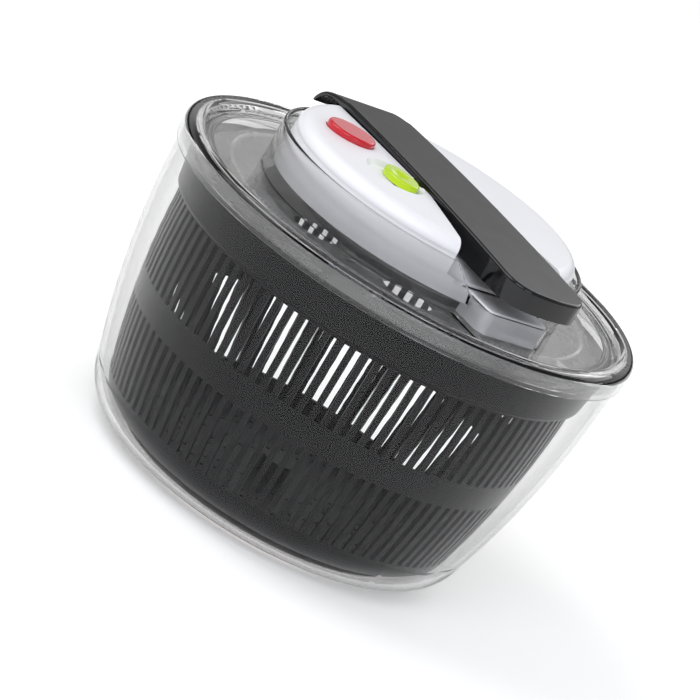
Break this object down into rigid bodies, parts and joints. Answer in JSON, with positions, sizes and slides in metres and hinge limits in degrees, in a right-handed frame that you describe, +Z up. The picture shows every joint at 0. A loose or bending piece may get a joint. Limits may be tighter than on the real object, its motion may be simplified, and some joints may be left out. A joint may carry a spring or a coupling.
{
  "type": "salad spinner",
  "caption": "Round clear bowl with a slotted dark spinning basket and a clear lid that carries a pump lever, a brake button and a lock slider.",
  "frame": {"origin": "centre of the bowl's foot ring, on the surface it stands on", "axes": "+Z up along the spin axis; +X from the lever's hinge towards its tip"},
  "size_m": [0.25, 0.25, 0.1841],
  "materials": {
    "clear_bowl": "clear polished plastic",
    "clear_lid": "clear polished plastic",
    "clear_disc": "clear plastic",
    "dark_plastic": "satin",
    "white_plastic": "satin",
    "white_inner": "moulded",
    "black_gloss": "gloss",
    "grey_satin": "satin",
    "red_gloss": "gloss",
    "lime_gloss": "gloss",
    "foot": "soft",
    "brake_rubber": "matte",
    "steel": "turned"
  },
  "bodies": {
    "bowl": {"outer_bowl": "clear_bowl", "foot_ring": "foot", "bowl_pivot": "steel"},
    "basket_body": {"basket": "dark_plastic", "basket_socket": "white_inner"},
    "lid_body": {"lid": "clear_lid", "housing_base": "white_plastic", "housing_cover": "white_plastic", "housing_screws": "steel", "lid_screws": "steel", "hinge_pin": "steel", "hinge_spring": "steel", "cross_shaft": "steel", "transfer_pin": "steel", "spindle_bush": "white_inner", "button_spring": "steel", "brake_arm_pin": "steel", "lock_detent": "steel"},
    "lever": {"lever_body": "black_gloss", "lever_top": "grey_satin", "lever_sector": "white_inner"},
    "crown_body": {"crown_gear": "white_inner"},
    "transfer_body": {"transfer_gear": "white_inner"},
    "clutch_body": {"clutch_gear": "white_inner"},
    "drive": {"drive_disc": "clear_disc", "output_spindle": "steel", "spindle_nut": "steel", "brake_drum": "white_inner", "clutch_pawls": "white_inner"},
    "brake_button_body": {"brake_button": "red_gloss"},
    "brake_arm_body": {"brake_arm": "white_inner", "brake_pad": "brake_rubber"},
    "lock": {"lock_slider": "lime_gloss"}
  },
  "joints": [
    {"name": "basket_spin", "type": "hinge", "parent": "bowl", "child": "basket_body", "pos_m": [0, 0, 0.015], "axis": [0, 0, 1], "continuous": true},
    {"name": "lid_lift", "type": "slide", "parent": "bowl", "child": "lid_body", "axis": [0, 0, 1], "range_m": [0, 0.06]},
    {"name": "lever_pump", "type": "hinge", "parent": "lid_body", "child": "lever", "pos_m": [-0.07, 0, 0.17], "axis": [0, -1, 0], "range_deg": [0, 18]},
    {"name": "crown_turn", "type": "hinge", "parent": "lid_body", "child": "crown_body", "pos_m": [-0.03, 0, 0.163], "axis": [0, -1, 0], "range_deg": [-129, 1]},
    {"name": "transfer_turn", "type": "hinge", "parent": "lid_body", "child": "transfer_body", "pos_m": [-0.03, 0, 0.15], "axis": [0, 0, 1], "range_deg": [-1, 233]},
    {"name": "clutch_turn", "type": "hinge", "parent": "lid_body", "child": "clutch_body", "pos_m": [0, 0, 0.15], "axis": [0, 0, 1], "range_deg": [-463, 1]},
    {"name": "drive_spin", "type": "hinge", "parent": "lid_body", "child": "drive", "pos_m": [0, 0, 0.14], "axis": [0, 0, 1], "continuous": true},
    {"name": "brake_press", "type": "slide", "parent": "lid_body", "child": "brake_button_body", "axis": [0, 0, -1], "range_m": [0, 0.002], "stiffness_N_per_m": 400, "deforming": ["button_spring"]},
    {"name": "brake_arm_tilt", "type": "hinge", "parent": "lid_body", "child": "brake_arm_body", "pos_m": [-0.01778, -0.02898, 0.158], "axis": [0.8523, -0.523, 0], "range_deg": [-0.5, 9.4]},
    {"name": "lock_slide", "type": "slide", "parent": "lid_body", "child": "lock", "axis": [0, -1, 0], "range_m": [0, 0.005]}
  ],
  "couplings": [
    {"joint": "basket_spin", "follows": "drive_spin", "ratio": 1},
    {"joint": "crown_turn", "follows": "lever_pump", "ratio": -7.1216},
    {"joint": "transfer_turn", "follows": "lever_pump", "ratio": 12.819},
    {"joint": "clutch_turn", "follows": "lever_pump", "ratio": -25.638},
    {"joint": "brake_arm_tilt", "follows": "brake_press", "rad_per_m": 76.923}
  ]
}
